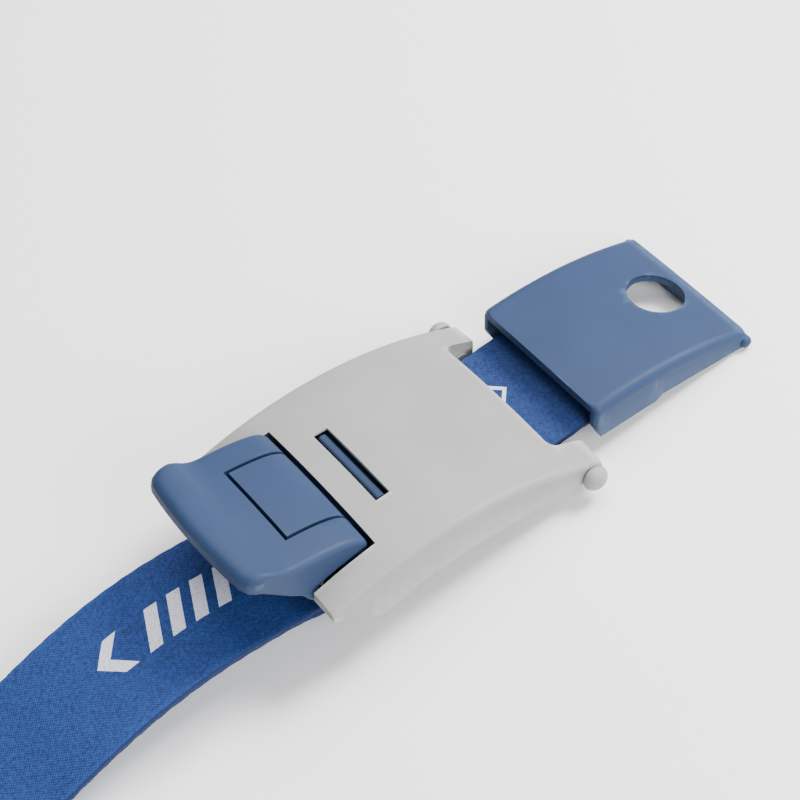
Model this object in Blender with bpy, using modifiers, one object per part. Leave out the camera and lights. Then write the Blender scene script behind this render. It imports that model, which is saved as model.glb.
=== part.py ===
"""Tourniquet buckle on 25 mm elastic webbing, with a clamp lever, a release button and a pull tab.

Buckle pieces are drawn in the buckle frame: X along the strap towards the pull tab, Y across it,
Z out of the top face, origin in the middle of the slot. The buckle frame is tilted by TILT so that
the pull tab's bead and the flat run of the webbing both stand on z = 0. Lengths are in millimetres
until make_object, which divides by 1000.
"""
import math

import bmesh
import bpy
from mathutils import Matrix

NAME = "tourniquet_buckle"
TILT = math.radians(10.0)

# housing
HOUSING_HALF_WIDTH = 20.0
HOUSING_LEFT = -17.5
HOUSING_RIGHT = 35.9
HOUSING_EDGE_RADIUS = 1.2
ARCH_APEX_X = 7.7
ARCH_APEX_Z = 0.35
ARCH_RADIUS = 70.0
CROWN_RADIUS = 175.0
ROOF_THICKNESS = 2.2
ROOF_LIP = 0.6
CAVITY_HALF_WIDTH = 14.7
RIGHT_BAY_HALF_WIDTH = 14.4
LEVER_GAP_X = -5.7
RIGHT_CUT_X = 29.6
RIGHT_CUT_CORNER = 1.7
SLOT_HALF_LENGTH = 8.6
SLOT_LEFT = -1.1
SLOT_RIGHT = 1.6
HOUSING_BELLY = [(-17.5, -6.9), (-8.2, -12.0), (-0.7, -9.6), (9.6, -8.7), (18.5, -8.7), (35.9, -9.5)]

# cross bar with ball ends
BALL_X = 33.7
BALL_Z = -8.3
BALL_RADIUS = 2.25
NECK_RADIUS = 0.9
BAR_X = 32.1
BAR_Z = -10.15
BAR_RADIUS = 1.2

# clamp lever, drawn in its closed position
LEVER_HALF_WIDTH = 14.3
AXLE_X = -13.0
AXLE_Z = -6.0
AXLE_RADIUS = 1.2
AXLE_HALF_LENGTH = 16.5
LEVER_TOP = [(-6.4, -1.8), (-6.9, -0.4), (-7.9, 0.7), (-9.5, 1.5), (-12.0, 2.1), (-15.0, 2.5), (-18.0, 2.7),
             (-20.2, 2.9), (-22.2, 3.6), (-24.2, 4.7), (-26.0, 5.3), (-27.6, 5.1), (-28.6, 4.3)]
LEVER_UNDER = [(-28.9, 3.1), (-28.2, 1.9), (-26.4, 0.7), (-22.4, -2.7), (-19.2, -5.3), (-17.6, -7.6),
               (-15.0, -9.4), (-12.5, -10.4), (-7.4, -10.4), (-6.2, -9.4)]
LIP_BOW = 1.2
LIP_CORNER = 2.6

# release button: panel in the lever, rib in the housing slot
BUTTON_HALF_WIDTH = 8.1
BUTTON_LEFT = -17.5
BUTTON_THICKNESS = 1.6
BUTTON_OUTLINE_GAP = 0.6
BUTTON_AXIS_Z = -1.0
BUTTON_ARM_TOP = -3.7
BUTTON_ARM_BOTTOM = -4.9
RIB_LEFT = -0.85
RIB_RIGHT = 1.15
RIB_TOP = -1.2

# webbing
STRAP_WIDTH = 25.0
STRAP_THICKNESS = 1.1
LAYER_GAP = 0.3
FEED_X = -9.0
FEED_TOP_Z = -12.9
FEED_SLOPE = math.radians(8.8)
PATH_STEP = 2.5
UPPER_LAYER_SHIFT = 0.35
LOWER_LAYER_SHIFT = 1.0
LAYERS_PART_X = -21.0
FLAT_RUN = 46.0
FOLD_RISE_LENGTH = 15.0
FOLD_RISE_ANGLE = math.radians(40.0)

# pull tab
TAB_HALF_WIDTH = 15.2
TAB_NEAR = 38.4
TAB_FAR = 71.5
TAB_APEX_X = 50.5
TAB_APEX_Z = 0.6
TAB_RADIUS = 75.0
TAB_CROWN_RADIUS = 600.0
TAB_SKIN = 1.5
TAB_WALL = 1.6
TAB_FLOOR = [(38.4, -4.6), (39.6, -7.2), (51.6, -6.5), (52.8, -5.6), (71.5, -5.6)]
TAB_BEAD_X = 71.3
TAB_BEAD_Z = -4.684
TAB_BEAD_RADIUS = 1.1
TAB_HOLE_X = 64.2
TAB_HOLE_RADIUS = 5.1
TAB_HINGE_X = 41.0
TAB_ROD_X = 49.5
TAB_ROD_RADIUS = 0.9


def material(name, colour, roughness, metallic=0.0):
    found = bpy.data.materials.get(name)
    if found:
        return found
    made = bpy.data.materials.new(name)
    made.use_nodes = True
    shader = made.node_tree.nodes["Principled BSDF"]
    shader.inputs["Base Color"].default_value = (*colour, 1.0)
    shader.inputs["Roughness"].default_value = roughness
    shader.inputs["Metallic"].default_value = metallic
    return made


def housing_grey():
    return material("housing_grey", (0.50, 0.50, 0.48), 0.45)


def lever_blue():
    return material("lever_blue", (0.11, 0.19, 0.33), 0.42)


def webbing_blue():
    return material("webbing_blue", (0.03, 0.10, 0.36), 0.85)


def steel():
    return material("steel", (0.60, 0.61, 0.62), 0.3, 1.0)


def make_object(name, work, look=None, collection=None):
    """An object from a bmesh drawn in millimetres, with its normals turned outward."""
    bmesh.ops.scale(work, vec=(0.001, 0.001, 0.001), verts=work.verts)
    bmesh.ops.recalc_face_normals(work, faces=work.faces)
    mesh = bpy.data.meshes.new(name)
    work.to_mesh(mesh)
    work.free()
    mesh.shade_smooth()
    mesh.set_sharp_from_angle(angle=math.radians(35.0))
    made = bpy.data.objects.new(name, mesh)
    if look:
        mesh.materials.append(look)
    (collection or PARTS).objects.link(made)
    return made


def loft(name, rings, look=None, collection=None):
    """A closed solid skinned over rings with the same number of points."""
    work = bmesh.new()
    rows = [[work.verts.new(point) for point in ring] for ring in rings]
    for near, far in zip(rows, rows[1:]):
        for i in range(len(near)):
            work.faces.new((near[i - 1], near[i], far[i], far[i - 1]))
    work.faces.new(rows[0])
    work.faces.new(rows[-1])
    return make_object(name, work, look, collection)


def prism(name, outline, y_from, y_to, look=None, collection=None):
    """An XZ outline extruded along Y."""
    work = bmesh.new()
    face = work.faces.new([work.verts.new((x, y_from, z)) for x, z in outline])
    moved = bmesh.ops.extrude_face_region(work, geom=[face], use_keep_orig=True)["geom"]
    corners = [item for item in moved if isinstance(item, bmesh.types.BMVert)]
    bmesh.ops.translate(work, vec=(0.0, y_to - y_from, 0.0), verts=corners)
    return make_object(name, work, look, collection)


def block(name, x_range, y_range, z_range, look=None, collection=None):
    work = bmesh.new()
    bmesh.ops.create_cube(work, size=1.0)
    spans = (x_range, y_range, z_range)
    bmesh.ops.scale(work, vec=[high - low for low, high in spans], verts=work.verts)
    bmesh.ops.translate(work, vec=[(low + high) / 2.0 for low, high in spans], verts=work.verts)
    return make_object(name, work, look, collection)


def cylinder(name, centre, radius, length, axis, look=None, collection=None, sides=24):
    """A round bar about the centre, along Y or Z."""
    work = bmesh.new()
    bmesh.ops.create_cone(work, cap_ends=True, segments=sides, radius1=radius, radius2=radius, depth=length)
    if axis == "Y":
        quarter_turn = Matrix.Rotation(math.pi / 2.0, 3, "X")
        bmesh.ops.rotate(work, cent=(0.0, 0.0, 0.0), matrix=quarter_turn, verts=work.verts)
    bmesh.ops.translate(work, vec=centre, verts=work.verts)
    return make_object(name, work, look, collection)


def rod(name, x, z, radius, y_from, y_to, look=None, collection=None):
    return cylinder(name, (x, (y_from + y_to) / 2.0, z), radius, y_to - y_from, "Y", look, collection)


def round_outline(x, z, radius_x, radius_z, count=24):
    angles = [2.0 * math.pi * i / count for i in range(count)]
    return [(x + radius_x * math.cos(a), z + radius_z * math.sin(a)) for a in angles]


def boolean(target, tool, operation="DIFFERENCE"):
    step = target.modifiers.new(operation.lower(), "BOOLEAN")
    step.operation = operation
    step.solver = "EXACT"
    step.object = tool
    tool.hide_render = True
    tool.display_type = "WIRE"


def soften(target, width, segments=2, angle=35.0):
    step = target.modifiers.new("edges", "BEVEL")
    step.width = width / 1000.0
    step.segments = segments
    step.limit_method = "ANGLE"
    step.angle_limit = math.radians(angle)
    step.use_clamp_overlap = True


def put_origin(target, x, z):
    """Moves the origin to (x, 0, z) in the buckle frame and leaves the shape where it is."""
    for vertex in target.data.vertices:
        vertex.co.x -= x / 1000.0
        vertex.co.z -= z / 1000.0
    target.location = (x / 1000.0, 0.0, z / 1000.0)


def in_buckle(*targets):
    for target in targets:
        target.parent = BUCKLE_FRAME


def between(x, table):
    """Straight-line reading of a list of (x, value) pairs."""
    if x <= table[0][0]:
        return table[0][1]
    for (x0, v0), (x1, v1) in zip(table, table[1:]):
        if x <= x1:
            return v0 + (v1 - v0) * (x - x0) / (x1 - x0)
    return table[-1][1]


def circle_sag(radius, distance):
    """How far a circle of that radius has dropped at a distance from its top."""
    return radius - math.sqrt(max(0.0, radius ** 2 - distance ** 2))


def arch_z(x, y):
    """Height of the housing's top face."""
    return ARCH_APEX_Z - circle_sag(ARCH_RADIUS, x - ARCH_APEX_X) - circle_sag(CROWN_RADIUS, y)


def tab_z(x, y):
    """Height of the pull tab's top face."""
    return TAB_APEX_Z - circle_sag(TAB_RADIUS, x - TAB_APEX_X) - circle_sag(TAB_CROWN_RADIUS, y)


def roofed_ring(x, half_width, top, floor, edge_radius):
    """A section across the strap: flat floor, upright sides, rounded shoulders, crowned top."""
    ring = [(x, -half_width, floor)]
    inner = half_width - edge_radius
    shoulder = top(x, inner) - edge_radius
    for step in range(5):
        angle = math.radians(180.0 - 22.5 * step)
        ring.append((x, -inner + edge_radius * math.cos(angle), shoulder + edge_radius * math.sin(angle)))
    for step in range(1, 8):
        y = -inner + 2.0 * inner * step / 8.0
        ring.append((x, y, top(x, y)))
    for step in range(5):
        angle = math.radians(90.0 - 22.5 * step)
        ring.append((x, inner + edge_radius * math.cos(angle), shoulder + edge_radius * math.sin(angle)))
    ring.append((x, half_width, floor))
    return ring


def stations(first, last, step):
    count = max(1, round((last - first) / step))
    return [first + (last - first) * i / count for i in range(count + 1)]


def left_bay_cutter():
    """The room for the lever and the mechanism. The roof thins to a lip at the lever gap."""
    outline = [(-40.0, -30.0), (24.0, -30.0)]
    outline += [(x, arch_z(x, 0.0) - ROOF_THICKNESS) for x in (24.0, 18.0, 12.0, 6.0, 0.0, LEVER_GAP_X + 2.5)]
    outline += [(LEVER_GAP_X, arch_z(LEVER_GAP_X, 0.0) - ROOF_LIP), (LEVER_GAP_X, 15.0), (-40.0, 15.0)]
    return prism("cut_left_bay", outline, -CAVITY_HALF_WIDTH, CAVITY_HALF_WIDTH, None, CUTTERS)


def right_bay_cutter():
    outline = [(22.0, -31.0), (45.0, -31.0)]
    outline += [(x, arch_z(x, 0.0) - ROOF_THICKNESS - 0.1) for x in (45.0, 36.0, RIGHT_CUT_X, 22.0)]
    return prism("cut_right_bay", outline, -RIGHT_BAY_HALF_WIDTH, RIGHT_BAY_HALF_WIDTH, None, CUTTERS)


def right_cut_cutter():
    """The roof's cut-out at the pull tab's end, with rounded inner corners."""
    half = RIGHT_BAY_HALF_WIDTH - 0.03
    corner = []
    for angle in (0.0, 22.5, 45.0, 67.5, 90.0):
        a = math.radians(angle)
        x = RIGHT_CUT_X + RIGHT_CUT_CORNER * (1.0 - math.sin(a))
        corner.append((x, half - RIGHT_CUT_CORNER * (1.0 - math.cos(a))))
    outline = [(45.0, half), (45.0, -half)] + [(x, -y) for x, y in corner] + corner[::-1]
    return loft("cut_right_roof", [[(x, y, z) for x, y in outline] for z in (-20.0, 10.0)], None, CUTTERS)


def under_slot_cutter():
    """Thins the roof round the slot."""
    outline = [(SLOT_LEFT, -ROOF_LIP), (SLOT_RIGHT, -ROOF_LIP)]
    outline += [(SLOT_RIGHT + 1.6, -4.0), (SLOT_LEFT - 1.6, -4.0)]
    half = SLOT_HALF_LENGTH + 1.2
    return prism("cut_under_slot", outline, -half, half, None, CUTTERS)


def housing_shell():
    xs = sorted(set(stations(HOUSING_LEFT, HOUSING_RIGHT, 3.1) + [-8.2]))
    rings = [
        roofed_ring(x, HOUSING_HALF_WIDTH, arch_z, between(x, HOUSING_BELLY), HOUSING_EDGE_RADIUS) for x in xs
    ]
    shell = loft("housing_shell", rings, housing_grey())
    slot = (-SLOT_HALF_LENGTH, SLOT_HALF_LENGTH)
    reach = AXLE_HALF_LENGTH + 0.2
    boolean(shell, left_bay_cutter())
    boolean(shell, right_bay_cutter())
    boolean(shell, right_cut_cutter())
    boolean(shell, under_slot_cutter())
    boolean(shell, block("cut_slot", (SLOT_LEFT, SLOT_RIGHT), slot, (-6.0, 5.0), None, CUTTERS))
    boolean(shell, rod("cut_neck", BALL_X, BALL_Z, NECK_RADIUS + 0.15, -25.0, 25.0, None, CUTTERS))
    boolean(shell, rod("cut_socket", AXLE_X, AXLE_Z, AXLE_RADIUS + 0.1, -reach, reach, None, CUTTERS))
    return shell


def feed_z(x):
    """Height of the webbing's top face on its straight run through the housing."""
    return FEED_TOP_Z + (x - FEED_X) * math.tan(FEED_SLOPE)


def base_plate():
    """The sloping floor the webbing slides on, under the clamp jaw."""
    top = [(x, feed_z(x) - STRAP_THICKNESS - 0.3) for x in (17.0, -8.2)]
    lip = [(-9.4, top[1][1] - 0.5), (-9.4, top[1][1] - 0.9), (-8.6, top[1][1] - 1.2)]
    plate = prism("base_plate", top + lip + [(17.0, top[0][1] - 1.2)], -14.4, 14.4, steel())
    soften(plate, 0.15, 1)
    return plate


def cross_bar():
    """Ball ends and thin necks in the housing arms, and a lower middle that the webbing is sewn round."""
    half = []
    for angle in (82.0, 60.0, 40.0, 20.0, 0.0):
        a = math.radians(angle)
        radius = BALL_RADIUS * math.cos(a)
        half.append((-20.9 - BALL_RADIUS * math.sin(a) * 0.75, BALL_X, BALL_Z, radius, radius))
    half.append((-20.3, BALL_X, BALL_Z, BALL_RADIUS * 0.93, BALL_RADIUS * 0.93))
    half.append((-20.25, BALL_X, BALL_Z, NECK_RADIUS, NECK_RADIUS))
    half.append((-14.1, BALL_X, BALL_Z, NECK_RADIUS, NECK_RADIUS))
    half.append((-14.05, 32.9, -9.5, 1.9, 2.2))
    half.append((-13.85, 32.9, -9.5, 1.9, 2.2))
    half.append((-13.75, BAR_X, BAR_Z, BAR_RADIUS, BAR_RADIUS))
    both = half + [(-y, x, z, rx, rz) for y, x, z, rx, rz in reversed(half)]
    rings = [[(px, y, pz) for px, pz in round_outline(x, z, rx, rz)] for y, x, z, rx, rz in both]
    return loft("cross_bar", rings, housing_grey())


def inset(outline, depth):
    """The closed outline moved inwards by the depth."""
    moved = []
    for i, (x, z) in enumerate(outline):
        before = outline[i - 1]
        after = outline[(i + 1) % len(outline)]
        along_x = after[0] - before[0]
        along_z = after[1] - before[1]
        length = math.hypot(along_x, along_z)
        moved.append((x - along_z / length * depth, z + along_x / length * depth))
    return moved


def lever_ring(y, edge_radius):
    """The lever's section at y: crowned, rounded off at the sides, with a bowed lip."""
    past_flat = max(0.0, abs(y) - (LEVER_HALF_WIDTH - edge_radius))
    bow = LIP_BOW * (1.0 - (y / LEVER_HALF_WIDTH) ** 2)
    corner = circle_sag(LIP_CORNER, max(0.0, abs(y) - (LEVER_HALF_WIDTH - LIP_CORNER)))
    ring = []
    for x, z in inset(LEVER_TOP + LEVER_UNDER, circle_sag(edge_radius, past_flat) * 0.6):
        lip = min(1.0, max(0.0, (-21.0 - x) / 6.0))
        height = min(1.0, max(0.0, (z + 6.0) / 7.0))
        ring.append((x + (corner * 0.8 - bow) * lip, y, z - circle_sag(CROWN_RADIUS, y) * height))
    return ring


def clamp_lever():
    edge_radius = 1.1
    flat = LEVER_HALF_WIDTH - edge_radius
    side = [flat + edge_radius * math.sin(math.radians(a)) for a in (0.0, 35.0, 65.0, 90.0)]
    ys = [-y for y in reversed(side)] + stations(-flat, flat, 2.6)[1:-1] + side
    lever = loft("clamp_lever", [lever_ring(y, edge_radius) for y in ys], lever_blue())
    half = BUTTON_HALF_WIDTH + BUTTON_OUTLINE_GAP
    left = BUTTON_LEFT - BUTTON_OUTLINE_GAP
    pocket = [(left, 12.0), (left, -1.9), (-8.6, -1.9), (-8.6, -6.9), (2.0, -6.9), (2.0, 12.0)]
    boolean(lever, prism("cut_button_pocket", pocket, -half, half, None, CUTTERS))
    boolean(lever, rod("cut_axle_hole", AXLE_X, AXLE_Z, AXLE_RADIUS + 0.3, -20.0, 20.0, None, CUTTERS))
    for side, name in ((-1.0, "front"), (1.0, "rear")):
        ends = sorted((side * 10.4, side * 20.0))
        boolean(lever, rod("cut_spring_" + name, AXLE_X, AXLE_Z, 2.7, ends[0], ends[1], None, CUTTERS))
    boolean(lever, block("cut_jaw_seat", (-11.3, 0.0), (-13.0, 13.0), (-20.0, -8.9), None, CUTTERS))
    put_origin(lever, AXLE_X, AXLE_Z)
    return lever


def clamp_jaw():
    """Toothed steel insert under the lever that bites the webbing against the base plate."""
    teeth = []
    floor = feed_z(-8.0) + 0.35
    for i in range(4):
        x = -7.0 - 1.0 * i
        teeth += [(x, floor + 0.5 - 0.155 * i), (x - 0.5, floor - 0.155 * i)]
    outline = [(-6.6, -9.3)] + teeth + [(-10.9, floor + 0.1), (-10.9, -9.3)]
    jaw = prism("clamp_jaw", outline, -12.6, 12.6, steel())
    put_origin(jaw, AXLE_X, AXLE_Z)
    return jaw


def lever_axle():
    axle = rod("lever_axle", AXLE_X, AXLE_Z, AXLE_RADIUS, -AXLE_HALF_LENGTH, AXLE_HALF_LENGTH, steel())
    soften(axle, 0.2, 1)
    return axle


def lever_spring(name, side):
    """Three turns of wire round the axle, inside the lever's end pocket."""
    per_turn = 16
    count = 3 * per_turn + 1
    curve = bpy.data.curves.new(name, "CURVE")
    curve.dimensions = "3D"
    curve.bevel_depth = 0.00028
    curve.bevel_resolution = 1
    curve.use_fill_caps = True
    spline = curve.splines.new("POLY")
    spline.points.add(count - 1)
    for i, point in enumerate(spline.points):
        angle = 2.0 * math.pi * i / per_turn
        y = side * (11.2 + 0.8 * i / per_turn)
        x = AXLE_X + 1.95 * math.cos(angle)
        z = AXLE_Z + 1.95 * math.sin(angle)
        point.co = (x / 1000.0, y / 1000.0, z / 1000.0, 1.0)
    curve.materials.append(steel())
    made = bpy.data.objects.new(name, curve)
    PARTS.objects.link(made)
    return made


def release_button():
    """Panel flush in the lever, arm under the housing roof, and the rib in the slot that it rocks on."""
    lever_line = [(-x, z) for x, z in LEVER_TOP]
    skin = [(x, between(-x, lever_line)) for x in (-6.6, -7.1, -7.9, -9.5, -12.0, -15.0, BUTTON_LEFT)]
    under = [(BUTTON_LEFT, skin[-1][1] - BUTTON_THICKNESS), (-9.0, 0.0), (-7.4, -1.4)]
    under.append((-7.4, BUTTON_ARM_BOTTOM))
    arm = [(RIB_RIGHT, BUTTON_ARM_BOTTOM), (RIB_RIGHT, RIB_TOP - 0.4), (RIB_RIGHT - 0.4, RIB_TOP),
           (RIB_LEFT + 0.4, RIB_TOP), (RIB_LEFT, RIB_TOP - 0.4), (RIB_LEFT, BUTTON_ARM_TOP),
           (-6.6, BUTTON_ARM_TOP)]
    outline = skin + under + arm
    rings = []
    for y in stations(-BUTTON_HALF_WIDTH, BUTTON_HALF_WIDTH, 2.1):
        sag = circle_sag(CROWN_RADIUS, y)
        rings.append([(x, y, z - sag if i < len(skin) else z) for i, (x, z) in enumerate(outline)])
    button = loft("release_button", rings, lever_blue())
    collar = block("join_collar", (-5.2, 2.9), (-12.6, 12.6), (BUTTON_ARM_BOTTOM + 0.1, -2.9), None, CUTTERS)
    boolean(button, collar, "UNION")
    put_origin(button, 0.0, BUTTON_AXIS_Z)
    return button


def button_spring():
    """Leaf spring under the button's arm, fixed to the housing roof right of the slot."""
    roof = arch_z(6.0, 0.0) - ROOF_THICKNESS - 0.4
    outline = [(5.0, roof), (7.0, roof), (7.0, -6.0), (-4.5, -5.75), (-4.5, -5.45), (5.0, -5.6)]
    return prism("button_spring", outline, -3.0, 3.0, steel())


def to_world(x, z):
    """Buckle-frame (x, z) to the table frame."""
    world_x = x * math.cos(TILT) + z * math.sin(TILT) + FRAME_X
    world_z = -x * math.sin(TILT) + z * math.cos(TILT) + FRAME_Z
    return world_x, world_z


def walk(point, heading, pieces):
    """Points along a chain of arcs. Each piece is (length, turn); headings grow anticlockwise from +X."""
    path = [(point[0], point[1], heading)]
    for length, turn in pieces:
        count = max(1, math.ceil(length / PATH_STEP), math.ceil(abs(turn) / math.radians(12.0)))
        for _ in range(count):
            x, z, heading = path[-1]
            middle = heading + turn / count / 2.0
            step = length / count
            path.append((x + step * math.cos(middle), z + step * math.sin(middle), heading + turn / count))
    return path


def band(name, path, shift=0.0, end_shift=None):
    """Webbing along a path of (x, z, heading), moved sideways by shift, or drifting on to end_shift."""
    drift = 0.0 if end_shift is None else (end_shift - shift) / (len(path) - 1)
    half = STRAP_THICKNESS / 2.0
    rings = []
    for i, (x, z, heading) in enumerate(path):
        up_x = -math.sin(heading) * half
        up_z = math.cos(heading) * half
        near = shift + drift * i - STRAP_WIDTH / 2.0
        far = near + STRAP_WIDTH
        rings.append([
            (x + up_x, near, z + up_z),
            (x + up_x, far, z + up_z),
            (x - up_x, far, z - up_z),
            (x - up_x, near, z - up_z),
        ])
    return loft(name, rings, webbing_blue())


def upper_path():
    """From beside the clamp jaw, over the hump and down to the flat run on the table."""
    start_x = -6.0
    mid = (start_x, feed_z(start_x) - STRAP_THICKNESS / 2.0)
    degrees = math.radians
    slopes = [(3.1, 0.0), (4.1, -9.3), (13.0, 0.0), (4.0, 3.0), (10.2, 9.5), (10.5, 9.5), (11.5, 6.0)]
    pieces = [(length, degrees(turn)) for length, turn in slopes]
    path = walk(to_world(*mid), math.pi + FEED_SLOPE - TILT, pieces)
    x, z, heading = path[-1]
    fall = heading - math.pi
    resting = STRAP_THICKNESS * 1.5 + LAYER_GAP
    radius = (z - resting) / (1.0 - math.cos(fall))
    path += walk((x, z), heading, [(radius * fall, -fall)])[1:]
    return path


def fold_path(start):
    """Flat run, then up and round, back on to the table."""
    x, z, heading = start
    rise_radius = FOLD_RISE_LENGTH / FOLD_RISE_ANGLE
    rise = rise_radius * (1.0 - math.cos(FOLD_RISE_ANGLE))
    drop = z + rise - STRAP_THICKNESS / 2.0
    radius = drop / (1.0 + math.cos(FOLD_RISE_ANGLE))
    around = math.pi + FOLD_RISE_ANGLE
    pieces = [(FLAT_RUN, 0.0), (FOLD_RISE_LENGTH, -FOLD_RISE_ANGLE), (radius * around, around), (12.0, 0.0)]
    return walk((x, z), heading, pieces)


def lower_path(upper):
    """Under the upper layer from the table to the housing, then under the base plate."""
    path = []
    for x, z, heading in reversed(upper):
        spread = min(1.0, max(0.0, (x - to_world(LAYERS_PART_X, -13.0)[0]) / 12.0))
        depth = STRAP_THICKNESS + LAYER_GAP + 1.9 * spread * spread * (3.0 - 2.0 * spread)
        back = heading - math.pi
        path.append((x + math.sin(heading) * depth, z - math.cos(back) * depth, back))
    x, z, heading = path[-1]
    heading = FEED_SLOPE - TILT
    return path + walk((x, z), heading, [(26.0, 0.0)])[1:]


def anchor_path(start):
    """On to the cross bar, round it, and back over itself to the seam."""
    x, z, heading = start
    bar = to_world(BAR_X, BAR_Z)
    radius = BAR_RADIUS + 0.1 + STRAP_THICKNESS / 2.0
    under = (bar[0] + radius * math.sin(heading), bar[1] - radius * math.cos(heading))
    length = math.hypot(under[0] - x, under[1] - z)
    slope = math.atan2(under[1] - z, under[0] - x)
    path = walk((x, z), slope, [(length, 0.0)])
    tail = math.radians(6.5)
    turns = [(radius * (math.pi + tail), math.pi + tail), (7.0, 0.0), (1.5, -tail), (3.0, 0.0)]
    return path + walk((path[-1][0], path[-1][1]), heading, turns)[1:]


def straps():
    """The loop in four pieces, end to end with small gaps."""
    gap = 0.3
    upper = upper_path()
    fold = fold_path(upper[-1])
    x, z, heading = fold[0]
    fold[0] = (x - gap / 2.0, z, heading)
    landing = (fold[-1][0] + gap, STRAP_THICKNESS / 2.0, 0.0)
    lower = [landing] + [point for point in lower_path(upper) if point[0] > fold[-1][0] + 1.0]
    x, z, heading = lower[-1]
    seam = (x + gap * math.cos(heading), z + gap * math.sin(heading), heading)
    band("strap_upper", upper, UPPER_LAYER_SHIFT)
    band("strap_fold", fold, UPPER_LAYER_SHIFT, LOWER_LAYER_SHIFT)
    band("strap_lower", lower, LOWER_LAYER_SHIFT)
    band("strap_anchor", anchor_path(seam), LOWER_LAYER_SHIFT)


def strap_feed():
    """The straight run that slides through the housing to the pull tab."""
    start_x = -5.5
    length = (TAB_HINGE_X - 0.4 - start_x) / math.cos(FEED_SLOPE)
    path = walk((start_x, feed_z(start_x) - STRAP_THICKNESS / 2.0), FEED_SLOPE, [(length, 0.0)])
    return band("strap_feed", path)


def strap_tab_end():
    """From the tab's hinge line over the rod and back under itself."""
    start_x = TAB_HINGE_X + 0.4
    length = (TAB_ROD_X - start_x) / math.cos(FEED_SLOPE)
    radius = TAB_ROD_RADIUS + 0.1 + STRAP_THICKNESS / 2.0
    start = (start_x, feed_z(start_x) - STRAP_THICKNESS / 2.0)
    path = walk(start, FEED_SLOPE, [(length, 0.0), (radius * math.pi, -math.pi), (5.5, 0.0)])
    end = band("strap_tab_end", path)
    put_origin(end, TAB_HINGE_X, feed_z(TAB_HINGE_X) - STRAP_THICKNESS / 2.0)
    return end


def tab_rod_centre():
    drop = STRAP_THICKNESS + 0.1 + TAB_ROD_RADIUS
    return TAB_ROD_X + math.sin(FEED_SLOPE) * drop, feed_z(TAB_ROD_X) - drop * math.cos(FEED_SLOPE)


def tab_rod():
    x, z = tab_rod_centre()
    made = rod("tab_rod", x, z, TAB_ROD_RADIUS, -14.2, 14.2, steel())
    put_origin(made, TAB_HINGE_X, feed_z(TAB_HINGE_X) - STRAP_THICKNESS / 2.0)
    return made


def tab_bead():
    """The rolled far edge, with domed ends just proud of the sides."""
    half = []
    for angle in (80.0, 50.0, 20.0, 0.0):
        a = math.radians(angle)
        reach = TAB_HALF_WIDTH + 0.1 + TAB_BEAD_RADIUS * 0.7 * math.sin(a)
        half.append((reach, TAB_BEAD_RADIUS * math.cos(a)))
    ends = [(-y, size) for y, size in half] + [(y, size) for y, size in reversed(half)]
    rings = [[(x, y, z) for x, z in round_outline(TAB_BEAD_X, TAB_BEAD_Z, size, size)] for y, size in ends]
    return loft("join_bead", rings, None, CUTTERS)


def tab_cavity_cutter():
    end = TAB_FAR - TAB_WALL
    xs = [30.0, 38.0, 43.0, 48.0, 53.0, 58.0, 63.0, 67.0, end]
    outline = [(end, -15.0), (30.0, -15.0)] + [(x, tab_z(x, 0.0) - TAB_SKIN) for x in xs]
    inner = TAB_HALF_WIDTH - TAB_WALL
    return prism("cut_tab_cavity", outline, -inner, inner, None, CUTTERS)


def tab_shell():
    """Arched plate with side walls, deeper on the strap side, a finger hole and a rolled far edge."""
    xs = sorted(set(stations(TAB_NEAR, TAB_FAR, 2.7) + [x for x, _ in TAB_FLOOR]))
    rings = [roofed_ring(x, TAB_HALF_WIDTH, tab_z, between(x, TAB_FLOOR), 1.7) for x in xs]
    shell = loft("tab_shell", rings, lever_blue())
    boolean(shell, tab_cavity_cutter())
    boolean(shell, tab_bead(), "UNION")
    hole = cylinder("cut_tab_hole", (TAB_HOLE_X, 0.0, 0.0), TAB_HOLE_RADIUS, 40.0, "Z", None, CUTTERS, 40)
    boolean(shell, hole)
    x, z = tab_rod_centre()
    boolean(shell, rod("cut_rod_socket", x, z, TAB_ROD_RADIUS + 0.1, -14.4, 14.4, None, CUTTERS))
    put_origin(shell, TAB_HINGE_X, feed_z(TAB_HINGE_X) - STRAP_THICKNESS / 2.0)
    return shell


def new_collection(name):
    made = bpy.data.collections.new(name)
    bpy.context.scene.collection.children.link(made)
    return made


for leftover in list(bpy.data.objects):
    bpy.data.objects.remove(leftover)
PARTS = new_collection(NAME)
CUTTERS = new_collection("cutters")
CUTTERS.hide_render = True

FRAME_Z = TAB_BEAD_RADIUS + TAB_BEAD_X * math.sin(TILT) - TAB_BEAD_Z * math.cos(TILT)
FRAME_X = 43.7
BUCKLE_FRAME = bpy.data.objects.new("buckle_frame", None)
BUCKLE_FRAME.location = (FRAME_X / 1000.0, 0.0, FRAME_Z / 1000.0)
BUCKLE_FRAME.rotation_euler = (0.0, TILT, 0.0)
PARTS.objects.link(BUCKLE_FRAME)

in_buckle(housing_shell(), base_plate(), cross_bar(), clamp_lever(), clamp_jaw(), lever_axle())
in_buckle(lever_spring("lever_spring_front", -1.0), lever_spring("lever_spring_rear", 1.0))
in_buckle(release_button(), button_spring(), strap_feed(), strap_tab_end(), tab_rod(), tab_shell())
in_buckle(*CUTTERS.objects)
straps()
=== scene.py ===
"""Tourniquet: arched clamp buckle on 25 mm elastic webbing, with a release lever and a pull tab."""
import math

import bmesh
import bpy
from mathutils import Euler, Matrix, Vector


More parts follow.
